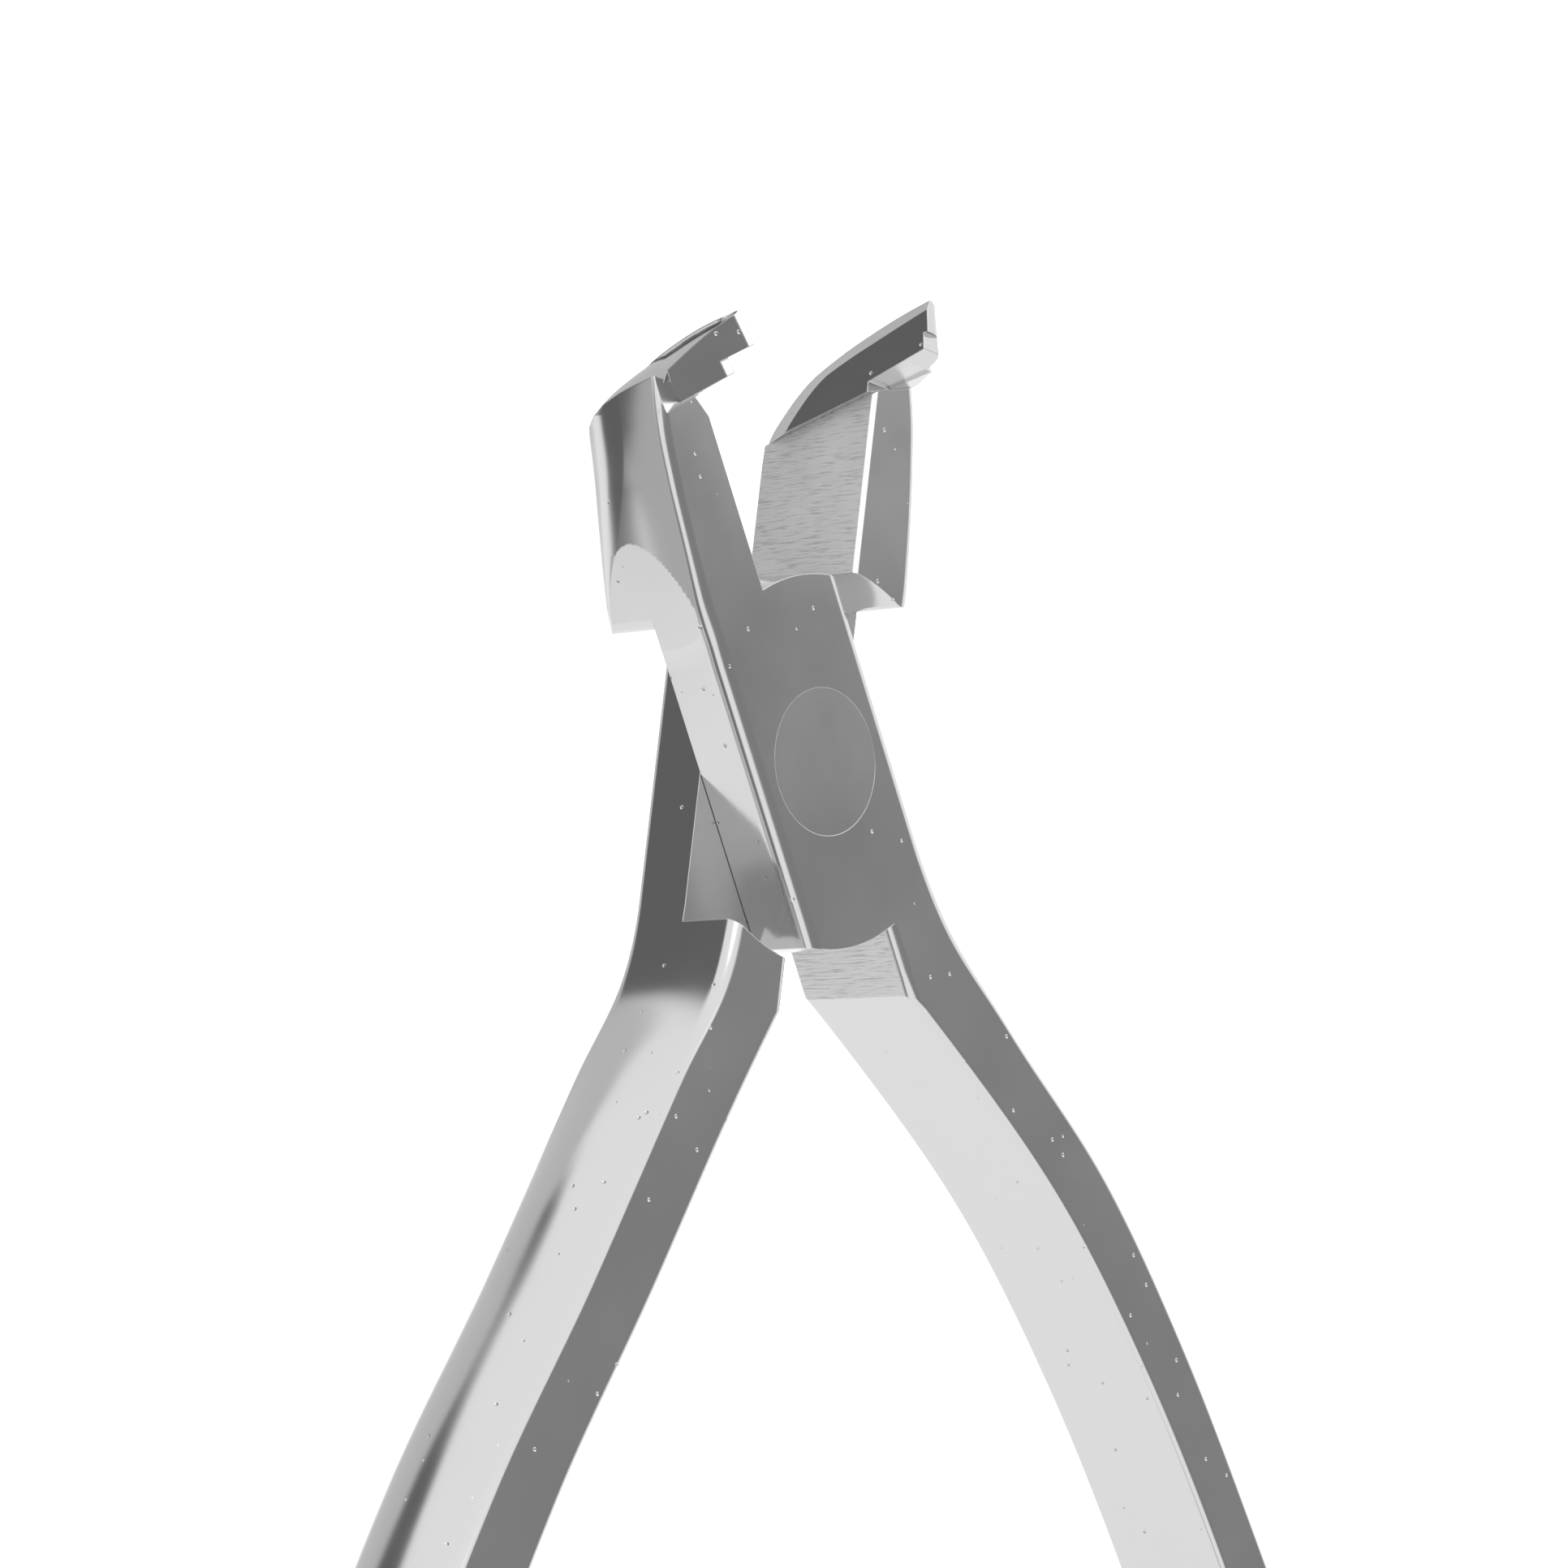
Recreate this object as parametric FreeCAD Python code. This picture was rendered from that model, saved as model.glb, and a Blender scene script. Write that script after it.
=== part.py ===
import FreeCAD, Part
import math
import os

# Lap-joint crimping pliers with tips bent forward, lying on their back face.
# Origin: on the pivot axis, in the plane of the back face. +Z is the pivot axis and
# points out of the front face, +Y runs towards the jaws, +X to the right seen from the front.
# Each half is drawn closed and then turned about the pivot to its open rest position.
# In a half's own plan, q is the distance from the centre line towards its jaw side.

# Driving dimensions, in millimetres and degrees
THICKNESS = 6.4
OPEN_HALF_ANGLE = 17.2        # each half is turned this far from closed at rest
PLATE_HALF_WIDTH = 4.35
EDGE_RADIUS = 0.6             # rounding along the outer edges
DISC_RADIUS = 8.2             # round ends of the lap plates
JAW_SHOULDER_RADIUS = 8.65    # hollow shoulder under a jaw, that the other plate's end turns in
HANDLE_SHOULDER_RADIUS = 9.0  # the same above a handle
LAP_GAP = 0.02                # free play between the two lap plates
JAW_RELIEF = 0.56             # from the centre line to a jaw's flat inner face
TIP_FACE = 0.05               # from the centre line to a tip insert's inner face
RIVET_HEAD_RADIUS = 3.2
RIVET_SHANK_RADIUS = 2.4
RIVET_HEAD_HEIGHT = 1.4
RUNNING_CLEARANCE = 0.03      # radial, between the rivet and the plate that turns on it

TOLERANCE = 0.05              # within this, an edge counts as lying on a plane

MID = THICKNESS / 2
JAW_FOOT_Y = 8.8              # the jaw's outer side is straight from here down
HANDLE_ROOT_Y = -5.0          # and the handle's outer side from here up
ROOT_SLOPE = (0.35, 3.0)      # direction in (q, y) in which a handle's outer side leaves its first station
SEAM_START_Y = 15.0           # where the insert's seam meets the back face, at the jaw's inner side
SEAM_RISE = 0.295             # the seam climbs towards the front face by this slope
SEAM_FLARE = 0.35             # and towards the jaw's outer side by this one

# Plan outline of a jaw's outer side, as (q, y) from above the tip down to the joint
JAW_OUTER = [(0.75, 21.4), (1.6, 20.2), (2.7, 18.7), (3.5, 16.8), (3.95, 14.2), (4.27, 11.2)]

INSERT_DEPTH = 6.0            # the blank that a tip insert is shaped from, across the jaws
TOOL_SIZE = 60.0              # size of the blocks that flat surfaces are cut with
SPARE = 1.0                   # how far a cutting shape reaches past what it cuts
SKIM = 0.01                   # how far the back rounding's cutting shape dips below the back face

# The jaw's outer back edge is rounded off more and more towards the tip:
# at each y, the outer side's q and the rounding's radius there
BACK_ROUNDING = [(8.0, 4.36, 0.6), (10.2, 4.36, 1.8), (13.5, 4.08, 3.0), (17.0, 3.45, 3.2), (22.0, 1.9, 3.2)]

# Side outline of the tip inserts, as (y, z): the back curves forward from the back face to the tip
TIP_BACK = [(13.6, 0), (15.3, 0.5), (16.7, 1.4), (17.9, 2.5), (18.85, 4.1), (19.55, 5.9), (20.15, 7.6),
            (20.65, 9.35)]
UNDERSIDE_FOOT = (17.2, THICKNESS)      # where the beak's underside leaves the front face
PLAIN_END = [(19.1, 9.8), (19.1, 9.4), (18.45, 9.55)]
HOOKED_END = [(18.85, 9.75), (18.5, 8.4), (17.85, 8.55)]
# The plain insert's outer side narrows to its tip, as (q, z)
PLAIN_TAPER = [(4.4, 5.2), (3.2, THICKNESS), (2.65, 7.2), (2.2, 8.0), (1.8, 8.7), (1.3, 9.3), (0.6, 9.85)]
# The hooked insert is ground off by one plane: q = FACET_Q at its foot, falling this much per mm of z
FACET_Q = 1.65
FACET_FALL = 0.53
FACET_RISE = 0.15                       # and rising this much per mm of y
FACET_LOW_Z = THICKNESS - 0.2           # the grinding stops just behind the front face

# Stations along each handle, from the joint to the end, as pairs of (q, y) on its inner side and
# on the chord of its outer side; the outer side is crowned, so it stands outside its chord
FRONT_HANDLE = [((-0.8, -11.4), (-4.75, -9.4)), ((-2.5, -15), (-6.2, -14.9)), ((-6.3, -24.6), (-9.55, -24.6)),
                ((-8.3, -33.7), (-11.3, -34)), ((-9.4, -43), (-12.2, -43)), ((-9.7, -56), (-12.9, -56)),
                ((-8.9, -74), (-12.3, -74)), ((-6.6, -94), (-10.2, -94)), ((-4.9, -106), (-8.4, -107))]
BACK_HANDLE = [((-0.85, -11.0), (-4.7, -9.4)), ((-2.75, -15), (-6.6, -14.9)), ((-6.85, -24.6), (-10.5, -24.6)),
               ((-10.9, -33.7), (-14.6, -33.7)), ((-13.9, -43), (-17.6, -43)), ((-15.4, -56), (-19.0, -56)),
               ((-14.6, -74), (-18.3, -74)), ((-11.4, -92), (-15.1, -92)), ((-8.7, -104), (-12.2, -105))]
HANDLE_CROWNS = [0.02, 0.55, 1.2, 1.2, 1.2, 1.2, 1.2, 1.1, 0.02]
HANDLE_EDGES = [0.6, 0.4, 0.3, 0.3, 0.3, 0.3, 0.3, 0.3, 0.3]


def vec(side, q, y, z=0.0):
    """A point of a half's plan; side is -1 for the front half, whose jaw is at -X, and 1 for the back half."""
    return FreeCAD.Vector(side * q, y, z)


def line(start, end):
    return Part.LineSegment(start, end).toShape()


def arc(start, middle, end):
    return Part.Arc(start, middle, end).toShape()


def spline(points, first=None, last=None):
    """A smooth curve through points, leaving along first and arriving along last where they are given."""
    curve = Part.BSplineCurve()
    if first is None:
        curve.interpolate(Points=points)
    else:
        curve.interpolate(Points=points, InitialTangent=first, FinalTangent=last)
    return curve.toShape()


def on_circle(radius, q):
    """The height y at which a circle about the pivot passes q."""
    return math.sqrt(radius ** 2 - q ** 2)


def half_outline(side, first_station):
    """The closed plan outline of one half as far as its handle's first station, with the jaw drawn
    straight up to beyond the seam."""
    w = PLATE_HALF_WIDTH
    top = JAW_OUTER[0][1]
    inner, outer = first_station
    pad_q = inner[0]
    crotch = vec(side, JAW_RELIEF, on_circle(DISC_RADIUS, JAW_RELIEF))
    jaw_inner_top = vec(side, JAW_RELIEF, top)
    jaw_outer_top = vec(side, JAW_OUTER[0][0], top)
    jaw_foot = vec(side, w, JAW_FOOT_Y)
    disc_bottom_start = vec(side, w, -on_circle(DISC_RADIUS, w))
    disc_bottom_end = vec(side, pad_q, -on_circle(DISC_RADIUS, pad_q))
    root = vec(side, -w, HANDLE_ROOT_Y)
    disc_top_start = vec(side, -w, on_circle(DISC_RADIUS, w))
    up = FreeCAD.Vector(0, 1, 0)
    jaw_outer = [vec(side, q, y) for q, y in JAW_OUTER] + [jaw_foot]
    return Part.Wire([
        line(crotch, jaw_inner_top),
        line(jaw_inner_top, jaw_outer_top),
        spline(jaw_outer, jaw_outer[1] - jaw_outer[0], -up),
        line(jaw_foot, disc_bottom_start),
        arc(disc_bottom_start, vec(side, w / 2, -on_circle(DISC_RADIUS, w / 2)), disc_bottom_end),
        line(disc_bottom_end, vec(side, *inner)),
        line(vec(side, *inner), vec(side, *outer)),
        spline([vec(side, *outer), root], vec(side, *ROOT_SLOPE), up),
        line(root, disc_top_start),
        arc(disc_top_start, vec(side, -w / 2, on_circle(DISC_RADIUS, w / 2)), crotch),
    ])


def handle_section(side, station, crown, edge):
    """One upright section of a handle: flat inside, front and back, with a crowned outer side."""
    inner = vec(side, *station[0])
    outer = vec(side, *station[1])
    width = inner.distanceToPoint(outer)
    across = (outer - inner).normalize()

    def at(distance, z):
        return inner + across * distance + FreeCAD.Vector(0, 0, z)

    radius = (MID ** 2 + crown ** 2) / (2 * crown)
    centre = width - radius + crown
    lift = MID - edge
    reach = centre + math.sqrt((radius - edge) ** 2 - lift ** 2)
    angle = math.asin(lift / (radius - edge))
    halfway = (angle + math.pi / 2) / 2
    tangent = (centre + radius * math.cos(angle), radius * math.sin(angle))
    bend = (reach + edge * math.cos(halfway), lift + edge * math.sin(halfway))
    return Part.Wire([
        line(at(0, 0), at(0, THICKNESS)),
        line(at(0, THICKNESS), at(reach, THICKNESS)),
        arc(at(reach, THICKNESS), at(bend[0], MID + bend[1]), at(tangent[0], MID + tangent[1])),
        arc(at(tangent[0], MID + tangent[1]), at(centre + radius, MID), at(tangent[0], MID - tangent[1])),
        arc(at(tangent[0], MID - tangent[1]), at(bend[0], MID - bend[1]), at(reach, 0)),
        line(at(reach, 0), at(0, 0)),
    ])


def handle(side, stations):
    sections = [handle_section(side, *values) for values in zip(stations, HANDLE_CROWNS, HANDLE_EDGES)]
    shaft = Part.makeLoft(sections, True, False)
    inner, outer = (vec(side, *point) for point in stations[-1])
    across = outer - inner
    tip = (inner + outer) * 0.5 + FreeCAD.Vector(across.y, -across.x, 0) * (-0.5 * side)
    plan = Part.Face(Part.Wire([line(inner, outer), arc(outer, tip, inner)]))
    end = plan.extrude(FreeCAD.Vector(0, 0, THICKNESS))
    flat_edges = [edge for edge in end.Edges if edge.BoundBox.ZLength < TOLERANCE]
    rims = [edge for edge in flat_edges if edge.Curve.TypeId == "Part::GeomCircle"]
    return shaft.fuse(end.makeFillet(HANDLE_EDGES[-1], rims))


def seam_space(side):
    """The space above the seam, where the tip insert is brazed on."""
    normal = FreeCAD.Vector(-side * SEAM_FLARE, 1.0, -SEAM_RISE)
    space = Part.makeBox(TOOL_SIZE, TOOL_SIZE, TOOL_SIZE, FreeCAD.Vector(-TOOL_SIZE / 2, -TOOL_SIZE / 2, 0))
    space.Placement = FreeCAD.Placement(vec(side, JAW_RELIEF, SEAM_START_Y),
                                        FreeCAD.Rotation(FreeCAD.Vector(0, 0, 1), normal))
    return space


def outer_edges(body, side):
    """The long front and back edges of a half's outer sides."""
    found = []
    shortest = 3.0
    for edge in body.Edges:
        box = edge.BoundBox
        if box.ZLength > TOLERANCE or box.YLength < shortest:
            continue
        middle = edge.valueAt((edge.FirstParameter + edge.LastParameter) / 2)
        q = side * middle.x
        on_jaw_side = q > PLATE_HALF_WIDTH / 2 and middle.y > -DISC_RADIUS
        on_handle_side = q < -PLATE_HALF_WIDTH + TOLERANCE
        if on_jaw_side or on_handle_side:
            found.append(edge)
    return found


def back_rounding(side):
    """What is taken off the outer back edge of a jaw: a corner with a hollow side that grows towards the tip."""
    sections = []
    for y, q, radius in BACK_ROUNDING:
        bend = radius * (1 - math.sqrt(0.5))
        start = vec(side, q, y, radius)
        end = vec(side, q - radius, y, -SKIM)
        corner = vec(side, q + SPARE, y, -SPARE)
        outside = vec(side, q + SPARE, y, radius)
        below = vec(side, q - radius, y, -SPARE)
        sections.append(Part.Wire([arc(start, vec(side, q - bend, y, bend), end), line(end, below),
                                   line(below, corner), line(corner, outside), line(outside, start)]))
    return Part.makeLoft(sections, True, False)


def tip_profile(end):
    """The side outline of a tip insert in the plane x = 0, from the back face round the tip to the front face."""
    back = [FreeCAD.Vector(0, y, z) for y, z in TIP_BACK]
    corners = [back[-1]] + [FreeCAD.Vector(0, y, z) for y, z in end + [UNDERSIDE_FOOT]]
    corners += [FreeCAD.Vector(0, back[0].y, THICKNESS), back[0]]
    edges = [spline(back, FreeCAD.Vector(0, 1, 0), back[-1] - back[-2])]
    edges += [line(start, stop) for start, stop in zip(corners, corners[1:])]
    return Part.Wire(edges)


def jaw_plan_prism(side):
    """Everything inside the plan outline of a jaw's outer side, taller than the tip."""
    outer = [vec(side, q, y, -SPARE) for q, y in JAW_OUTER]
    foot = vec(side, PLATE_HALF_WIDTH, JAW_FOOT_Y, -SPARE)
    inner_top = vec(side, -SPARE, JAW_OUTER[0][1], -SPARE)
    inner_foot = vec(side, -SPARE, JAW_FOOT_Y, -SPARE)
    plan = Part.Wire([spline(outer + [foot], outer[1] - outer[0], FreeCAD.Vector(0, -1, 0)),
                      line(foot, inner_foot), line(inner_foot, inner_top), line(inner_top, outer[0])])
    return Part.Face(plan).extrude(FreeCAD.Vector(0, 0, 2 * THICKNESS))


def tip_blank(side, end):
    face = Part.Face(tip_profile(end))
    face.translate(FreeCAD.Vector(side * TIP_FACE, 0, 0))
    blank = face.extrude(FreeCAD.Vector(side * INSERT_DEPTH, 0, 0))
    return blank.common(jaw_plan_prism(side)).common(seam_space(side)).cut(back_rounding(side))


def plain_insert(side):
    start_y, end_y = 10.0, 24.0
    outside_q, top_z = 8.0, 2 * THICKNESS
    outer = [vec(side, q, start_y, z) for q, z in PLAIN_TAPER]
    inner_top = vec(side, PLAIN_TAPER[-1][0], start_y, top_z)
    outer_top = vec(side, outside_q, start_y, top_z)
    outer_foot = vec(side, outside_q, start_y, PLAIN_TAPER[0][1])
    waste = Part.Wire([spline(outer), line(outer[-1], inner_top), line(inner_top, outer_top),
                       line(outer_top, outer_foot), line(outer_foot, outer[0])])
    return tip_blank(side, PLAIN_END).cut(Part.Face(waste).extrude(FreeCAD.Vector(0, end_y - start_y, 0)))


def hooked_insert(side):
    size = TOOL_SIZE
    normal = FreeCAD.Vector(side, -FACET_RISE, FACET_FALL)
    waste = Part.makeBox(size, size, size, FreeCAD.Vector(-size / 2, -size / 2, 0))
    waste.Placement = FreeCAD.Placement(vec(side, FACET_Q, *UNDERSIDE_FOOT),
                                        FreeCAD.Rotation(FreeCAD.Vector(0, 0, 1), normal))
    front_slab = Part.makeBox(size, size, size, FreeCAD.Vector(-size / 2, 0, FACET_LOW_Z))
    return tip_blank(side, HOOKED_END).cut(waste.common(front_slab))


def rivet(radius_gap=0.0, end_gap=0.0):
    """The pivot rivet, or with gaps the space that it needs in the plate that turns on it."""
    head = RIVET_HEAD_RADIUS + radius_gap
    shank = RIVET_SHANK_RADIUS + radius_gap
    step = RIVET_HEAD_HEIGHT + end_gap
    outline = [(0, 0), (head, 0), (head, step), (shank, step), (shank, THICKNESS - RIVET_HEAD_HEIGHT),
               (RIVET_HEAD_RADIUS, THICKNESS - RIVET_HEAD_HEIGHT), (RIVET_HEAD_RADIUS, THICKNESS), (0, THICKNESS)]
    points = [FreeCAD.Vector(r, 0, z) for r, z in outline + outline[:1]]
    face = Part.Face(Part.makePolygon(points))
    return face.revolve(FreeCAD.Vector(), FreeCAD.Vector(0, 0, 1), 360)


def lap_space(low, high):
    """The space about the pivot that the other half's plate turns in, between two heights."""
    height = high - low
    base = FreeCAD.Vector(0, 0, low)
    reach = 2 * HANDLE_SHOULDER_RADIUS
    jaw_part = Part.makeCylinder(JAW_SHOULDER_RADIUS, height, base)
    handle_part = Part.makeCylinder(HANDLE_SHOULDER_RADIUS, height, base)
    handle_side = Part.makeBox(2 * reach, reach, height, FreeCAD.Vector(-reach, -reach, low))
    return jaw_part.fuse(handle_part.common(handle_side))


def half(side, stations, plate_in_front):
    body = Part.Face(half_outline(side, stations[0])).extrude(FreeCAD.Vector(0, 0, THICKNESS))
    body = body.makeFillet(EDGE_RADIUS, outer_edges(body, side)).cut(back_rounding(side))
    body = body.fuse(handle(side, stations))
    if plate_in_front:
        body = body.cut(lap_space(-SPARE, MID + LAP_GAP / 2)).cut(rivet())
    else:
        body = body.cut(lap_space(MID - LAP_GAP / 2, THICKNESS + SPARE))
        body = body.cut(rivet(RUNNING_CLEARANCE, RUNNING_CLEARANCE))
    return body.cut(seam_space(side)).removeSplitter()


def write(name, shape, angle):
    """Turn a piece from closed to its rest position and write it."""
    if shape.ShapeType == "Compound" and len(shape.Solids) == 1:
        shape = shape.Solids[0]
    shape.rotate(FreeCAD.Vector(), FreeCAD.Vector(0, 0, 1), angle)
    shape.exportStep(f"parts/{name}.step")
    print(f"{name}: {len(shape.Solids)} solid, valid {shape.isValid()}, {shape.Volume:.1f} mm3")


if __name__ == "__main__":
    os.makedirs("parts", exist_ok=True)
    write("front_half", half(-1, FRONT_HANDLE, True), OPEN_HALF_ANGLE)
    write("back_half", half(1, BACK_HANDLE, False), -OPEN_HALF_ANGLE)
    write("hooked_tip_insert", hooked_insert(-1), OPEN_HALF_ANGLE)
    write("plain_tip_insert", plain_insert(1), -OPEN_HALF_ANGLE)
    write("pivot_rivet", rivet(), OPEN_HALF_ANGLE)
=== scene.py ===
import bpy
import bmesh
import math
import numpy as np
from mathutils import Matrix, Vector


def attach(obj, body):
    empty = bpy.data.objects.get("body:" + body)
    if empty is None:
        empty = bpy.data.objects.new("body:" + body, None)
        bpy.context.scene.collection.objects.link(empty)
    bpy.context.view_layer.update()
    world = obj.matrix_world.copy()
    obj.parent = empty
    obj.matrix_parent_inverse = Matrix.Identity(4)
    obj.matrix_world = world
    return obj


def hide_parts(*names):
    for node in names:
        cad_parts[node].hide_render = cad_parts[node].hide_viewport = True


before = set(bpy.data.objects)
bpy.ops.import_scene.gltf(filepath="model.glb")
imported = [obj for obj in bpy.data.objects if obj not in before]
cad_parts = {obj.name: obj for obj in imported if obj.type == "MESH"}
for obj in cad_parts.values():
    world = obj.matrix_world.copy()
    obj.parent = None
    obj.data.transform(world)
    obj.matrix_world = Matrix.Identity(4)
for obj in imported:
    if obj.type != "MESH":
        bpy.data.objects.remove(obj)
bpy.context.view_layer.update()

# The two halves are drawn closed, in millimetres, in plan coordinates (q, y): q runs from the
# centre line towards the half's jaw side. Each is then turned about the pivot to its rest position.
MM = 0.001
THICKNESS = 6.4               # of the two plates together
MID = THICKNESS / 2
OPEN_HALF_ANGLE = 17.2        # how far each half is turned from closed to rest
PLATE_HALF_WIDTH = 4.35
DISC_RADIUS = 8.2             # of the lap plates' round ends
JAW_SHOULDER_RADIUS = 8.65
HANDLE_SHOULDER_RADIUS = 9.0
LAP_GAP = 0.02
JAW_RELIEF = 0.56             # how far a jaw's inner face stands back from the closing plane
TIP_FACE = 0.05               # the same for a tip's inner face
RIVET_GAP_RADIUS = 3.215
SPARE = 1.0                   # how far a cutting solid reaches past what it cuts
SKIM = 0.01                   # what keeps a flat cut clear of the wall that it runs along
# The seam between a jaw and its tip insert is a plane: height y where it meets the back face at the jaw's
# inner face, and its climb per mm towards the outer side and towards the front face
SEAMS = {"front_half": (14.6, 0.7, 0.42), "back_half": (15.0, 0.35, 0.295)}

EDGE_RADIUS = 0.65            # rounding of the plates' outer edges
SOFT_EDGE = 0.3               # rounding of the handles' edges
CRISP_EDGE = 0.05             # edges that were only deburred
PAD_EDGES = (0.5, 0.2)        # front and back edge of a handle's stop pad
HANDLE_CROWN = 1.2            # how far a handle's outer side bulges
JAW_CROWN = 0.4
JAW_FRONT_LOSS = 0.15         # how much smaller the front rounding gets up a jaw
JAW_BACK_RADIUS = 3.9         # rounding of a jaw's outer back edge at the seam
# Where a handle changes along its length, as distances below the pivot
EDGE_SOFTENS = (8.0, 16.0)
CROWN_GROWS = (9.0, 22.0)
CROWN_FADES = (84, 105)

# Chord lines of the outer sides, as (q, y), and the handles' inner sides
JAW_OUTER = [(1.0, 21.6), (1.9, 20.2), (2.7, 18.7), (3.3, 16.8), (3.72, 14.2), (4.02, 11.2), (4.25, 8.3),
             (4.35, 6.0)]
HANDLE_INNER = {
    "front_half": [(-0.8, -11.4), (-2.5, -15), (-6.3, -24.6), (-8.3, -33.7), (-9.4, -43),
                   (-9.7, -56), (-8.9, -74), (-6.6, -94), (-4.9, -106)],
    "back_half": [(-0.85, -11.0), (-2.75, -15), (-6.85, -24.6), (-10.9, -33.7), (-13.9, -43),
                  (-15.4, -56), (-14.6, -74), (-11.4, -92), (-8.7, -104)],
}
HANDLE_OUTER = {
    "front_half": [(-8.4, -107), (-10.2, -94), (-12.3, -74), (-12.9, -56), (-12.2, -43),
                   (-11.3, -34), (-9.55, -24.6), (-6.2, -15), (-4.78, -9.9), (-4.35, -6.0)],
    "back_half": [(-12.2, -105), (-15.1, -92), (-18.3, -74), (-19.0, -56), (-17.6, -43),
                  (-14.6, -33.7), (-10.5, -24.6), (-6.6, -15), (-4.75, -10.3), (-4.35, -6.0)],
}


# ---------------------------------------------------------------- curves

def smooth_curve(points, step=0.5):
    """Points every step millimetres or so along a smooth curve through the given ones."""
    pts = np.array(points, float)
    chord = np.r_[0, np.cumsum(np.linalg.norm(np.diff(pts, axis=0), axis=1))]
    slopes = np.gradient(pts, chord, axis=0, edge_order=2)
    found = []
    for i in range(len(pts) - 1):
        span = chord[i + 1] - chord[i]
        t = np.linspace(0, 1, max(2, int(span / step)), endpoint=False)[:, None]
        found.append((2 * t**3 - 3 * t**2 + 1) * pts[i] + (t**3 - 2 * t**2 + t) * span * slopes[i]
                     + (3 * t**2 - 2 * t**3) * pts[i + 1] + (t**3 - t**2) * span * slopes[i + 1])
    return np.vstack(found + [pts[-1:]])


def straight(start, end, step=1.0):
    count = max(2, int(math.dist(start, end) / step) + 1)
    return np.linspace(start, end, count)


def circle_arc(radius, q_start, q_end, sign, step=0.12):
    """Points on a circle about the pivot, on the jaws' side (sign 1) or the handles' side (-1)."""
    a = math.asin(q_start / radius)
    b = math.asin(q_end / radius)
    angles = np.linspace(a, b, max(3, int(abs(b - a) * radius / step)))
    return np.stack([radius * np.sin(angles), sign * radius * np.cos(angles)], -1)


def round_end(start, end, steps=24):
    """A half circle from start to end, bulging to the right of that direction."""
    start, end = np.array(start, float), np.array(end, float)
    middle = (start + end) / 2
    along = (end - start) / 2
    out = np.array([along[1], -along[0]])
    angles = np.linspace(0, math.pi, steps + 1)[:, None]
    return middle - along * np.cos(angles) + out * np.sin(angles)


def ease(value, start, end):
    """0 before start, 1 after end, smooth between."""
    t = np.clip((value - start) / (end - start), 0, 1)
    return t * t * (3 - 2 * t)


# ---------------------------------------------------------------- a half's wall

FILLET_STEPS = 7
SIDE_STEPS = 30
PARALLEL = 0.05               # below this sine, two walls that meet count as one run
MITRE_ROOM = 1.3              # how many insets next to a mitre are left without a section


def wall_section(front_radius, back_radius, crown):
    """One upright section of a side wall from the front face's edge down to the back face's:
    (inset from the chord line, height). A crowned side is an arc that stands outside the chord."""
    crown = max(crown, 1e-3)
    radius = (MID**2 + crown**2) / (2 * crown)
    centre = radius - crown

    def fillet(r):
        """An edge rounding's centre, as height from the middle and distance from the arc's centre, and the
        angle at which it runs into the arc."""
        lift = MID - r
        return lift, math.sqrt((radius - r) ** 2 - lift**2), math.asin(lift / (radius - r))

    front_lift, front_reach, front_angle = fillet(front_radius)
    back_lift, back_reach, back_angle = fillet(back_radius)
    points = []
    for a in np.linspace(math.pi / 2, front_angle, FILLET_STEPS, endpoint=False):
        points.append((centre - front_reach - front_radius * math.cos(a),
                       MID + front_lift + front_radius * math.sin(a)))
    for a in np.linspace(front_angle, -back_angle, SIDE_STEPS, endpoint=False):
        points.append((centre - radius * math.cos(a), MID + radius * math.sin(a)))
    for a in np.linspace(-back_angle, -math.pi / 2, FILLET_STEPS + 1):
        points.append((centre - back_reach - back_radius * math.cos(a),
                       MID - back_lift + back_radius * math.sin(a)))
    return np.array(points)


def inset_at(section, height):
    """A wall section's inset at some heights."""
    order = np.argsort(section[:, 1])
    return np.interp(height, section[order, 1], section[order, 0])


def left_normals(points):
    tangent = np.gradient(points, axis=0)
    tangent /= np.linalg.norm(tangent, axis=1)[:, None]
    return np.stack([-tangent[:, 1], tangent[:, 0]], -1)


def wall(segments):
    """Rings of points round a closed outline. Each segment is (points, section at each point), with the
    solid on its left. Where two segments meet, their walls are mitred along the larger rounding."""
    columns = []
    count = len(segments)
    normals = [left_normals(points) for points, _ in segments]
    for i, (points, sections) in enumerate(segments):
        before, after = (i - 1) % count, (i + 1) % count
        last_section = segments[before][1][-1]
        first_section = sections[0]
        n1, n2 = normals[before][-1], normals[i][0]
        corner = points[0]
        main = max((last_section, first_section), key=lambda s: s[:, 0].max())
        insets = np.stack([inset_at(last_section, main[:, 1]), inset_at(first_section, main[:, 1])], -1)
        if abs(n1[0] * n2[1] - n1[1] * n2[0]) < PARALLEL:
            shift = np.mean(insets, axis=1)[:, None] * (n1 + n2) / np.linalg.norm(n1 + n2)
        else:
            shift = np.linalg.solve(np.array([n1, n2]), insets.T).T
        columns.append(np.c_[corner + shift, main[:, 1]])
        next_first = segments[after][1][0]
        start_room = last_section[:, 0].max() * MITRE_ROOM
        end_room = next_first[:, 0].max() * MITRE_ROOM
        from_start = np.linalg.norm(points - points[0], axis=1)
        from_end = np.linalg.norm(points - points[-1], axis=1)
        for j in range(1, len(points) - 1):
            if from_start[j] > start_room and from_end[j] > end_room:
                section = sections[j]
                columns.append(np.c_[points[j] + section[:, :1] * normals[i][j], section[:, 1]])
    return np.array(columns)


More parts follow.
